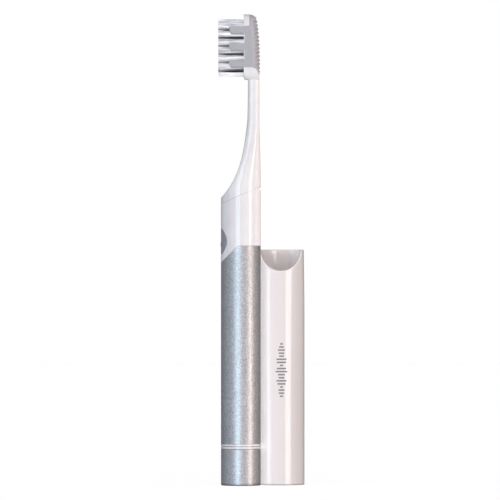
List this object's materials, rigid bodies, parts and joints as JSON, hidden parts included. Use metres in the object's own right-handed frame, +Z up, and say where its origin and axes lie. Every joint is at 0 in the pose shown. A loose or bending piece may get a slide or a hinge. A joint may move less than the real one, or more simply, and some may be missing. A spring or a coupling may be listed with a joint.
{
  "type": "electric toothbrush",
  "caption": "Slim battery sonic travel toothbrush with a pull-off brush head, side push button, pull-off battery end cap and a round travel cap standing beside it.",
  "frame": {"origin": "centre of the handle's flat base, on the surface it stands on", "axes": "+Z up along the handle to the brush head, -X towards the bristles and the button, +Y away from the side the travel cap's scoop faces"},
  "size_m": [0.0349, 0.0274, 0.1899],
  "materials": {
    "silver_sleeve": "satin metallic, fine sparkle",
    "trim_ring": "gloss light ring",
    "gloss_white": "high gloss white",
    "inner_plastic": "moulded matt",
    "contact_metal": "nickel plated",
    "board": "solder mask",
    "component_black": "moulded black",
    "grey_rubber": "soft rubber",
    "motor_steel": "drawn steel can",
    "post_steel": "turned steel",
    "button_grey": "matt soft touch",
    "weight_brass": "turned",
    "head_white": "high gloss white",
    "soft_grey": "soft matt grey",
    "bristle_white": "translucent nylon",
    "bristle_black": "charcoal nylon",
    "battery_label": "printed sleeve",
    "pearl_white": "pearl gloss"
  },
  "bodies": {
    "handle": {"handle_sleeve": "silver_sleeve", "sleeve_trim_ring": "trim_ring", "neck_housing": "gloss_white", "inner_chassis": "inner_plastic", "positive_contact": "contact_metal", "negative_strip": "contact_metal", "circuit_board": "board", "board_components": "component_black", "tact_switch": "component_black", "switch_boot": "grey_rubber", "motor_can": "motor_steel", "motor_cradle": "grey_rubber", "motor_leads": "component_black", "drive_post": "post_steel", "post_seal": "grey_rubber"},
    "button": {"button_key": "button_grey"},
    "rotor": {"motor_shaft": "post_steel", "eccentric_weight": "weight_brass"},
    "brush_head": {"head_neck": "head_white", "head_overmould": "soft_grey", "outer_tufts": "bristle_white", "centre_tufts": "bristle_black", "socket_insert": "post_steel"},
    "end_cap": {"end_cap": "silver_sleeve", "cap_trim_ring": "trim_ring", "o_ring": "grey_rubber", "spring_contact": "contact_metal", "battery_spring": "contact_metal", "aaa_battery": "battery_label"},
    "travel_cap": {"travel_cap": "pearl_white"}
  },
  "joints": [
    {"name": "button_press", "type": "slide", "parent": "handle", "child": "button", "axis": [1, 0, 0], "range_m": [0, 0.0006], "stiffness_N_per_m": 1500},
    {"name": "motor_spin", "type": "hinge", "parent": "handle", "child": "rotor", "pos_m": [0.0019, 0, 0.1], "axis": [0, 0, 1], "continuous": true},
    {"name": "head_pull", "type": "slide", "parent": "handle", "child": "brush_head", "axis": [0, 0, 1], "range_m": [0, 0.02]},
    {"name": "end_cap_pull", "type": "slide", "parent": "handle", "child": "end_cap", "axis": [0, 0, -1], "range_m": [0, 0.04]},
    {"name": "travel_cap_lift", "type": "slide", "parent": "handle", "child": "travel_cap", "axis": [0, 0, 1], "range_m": [0, 0.05]}
  ]
}
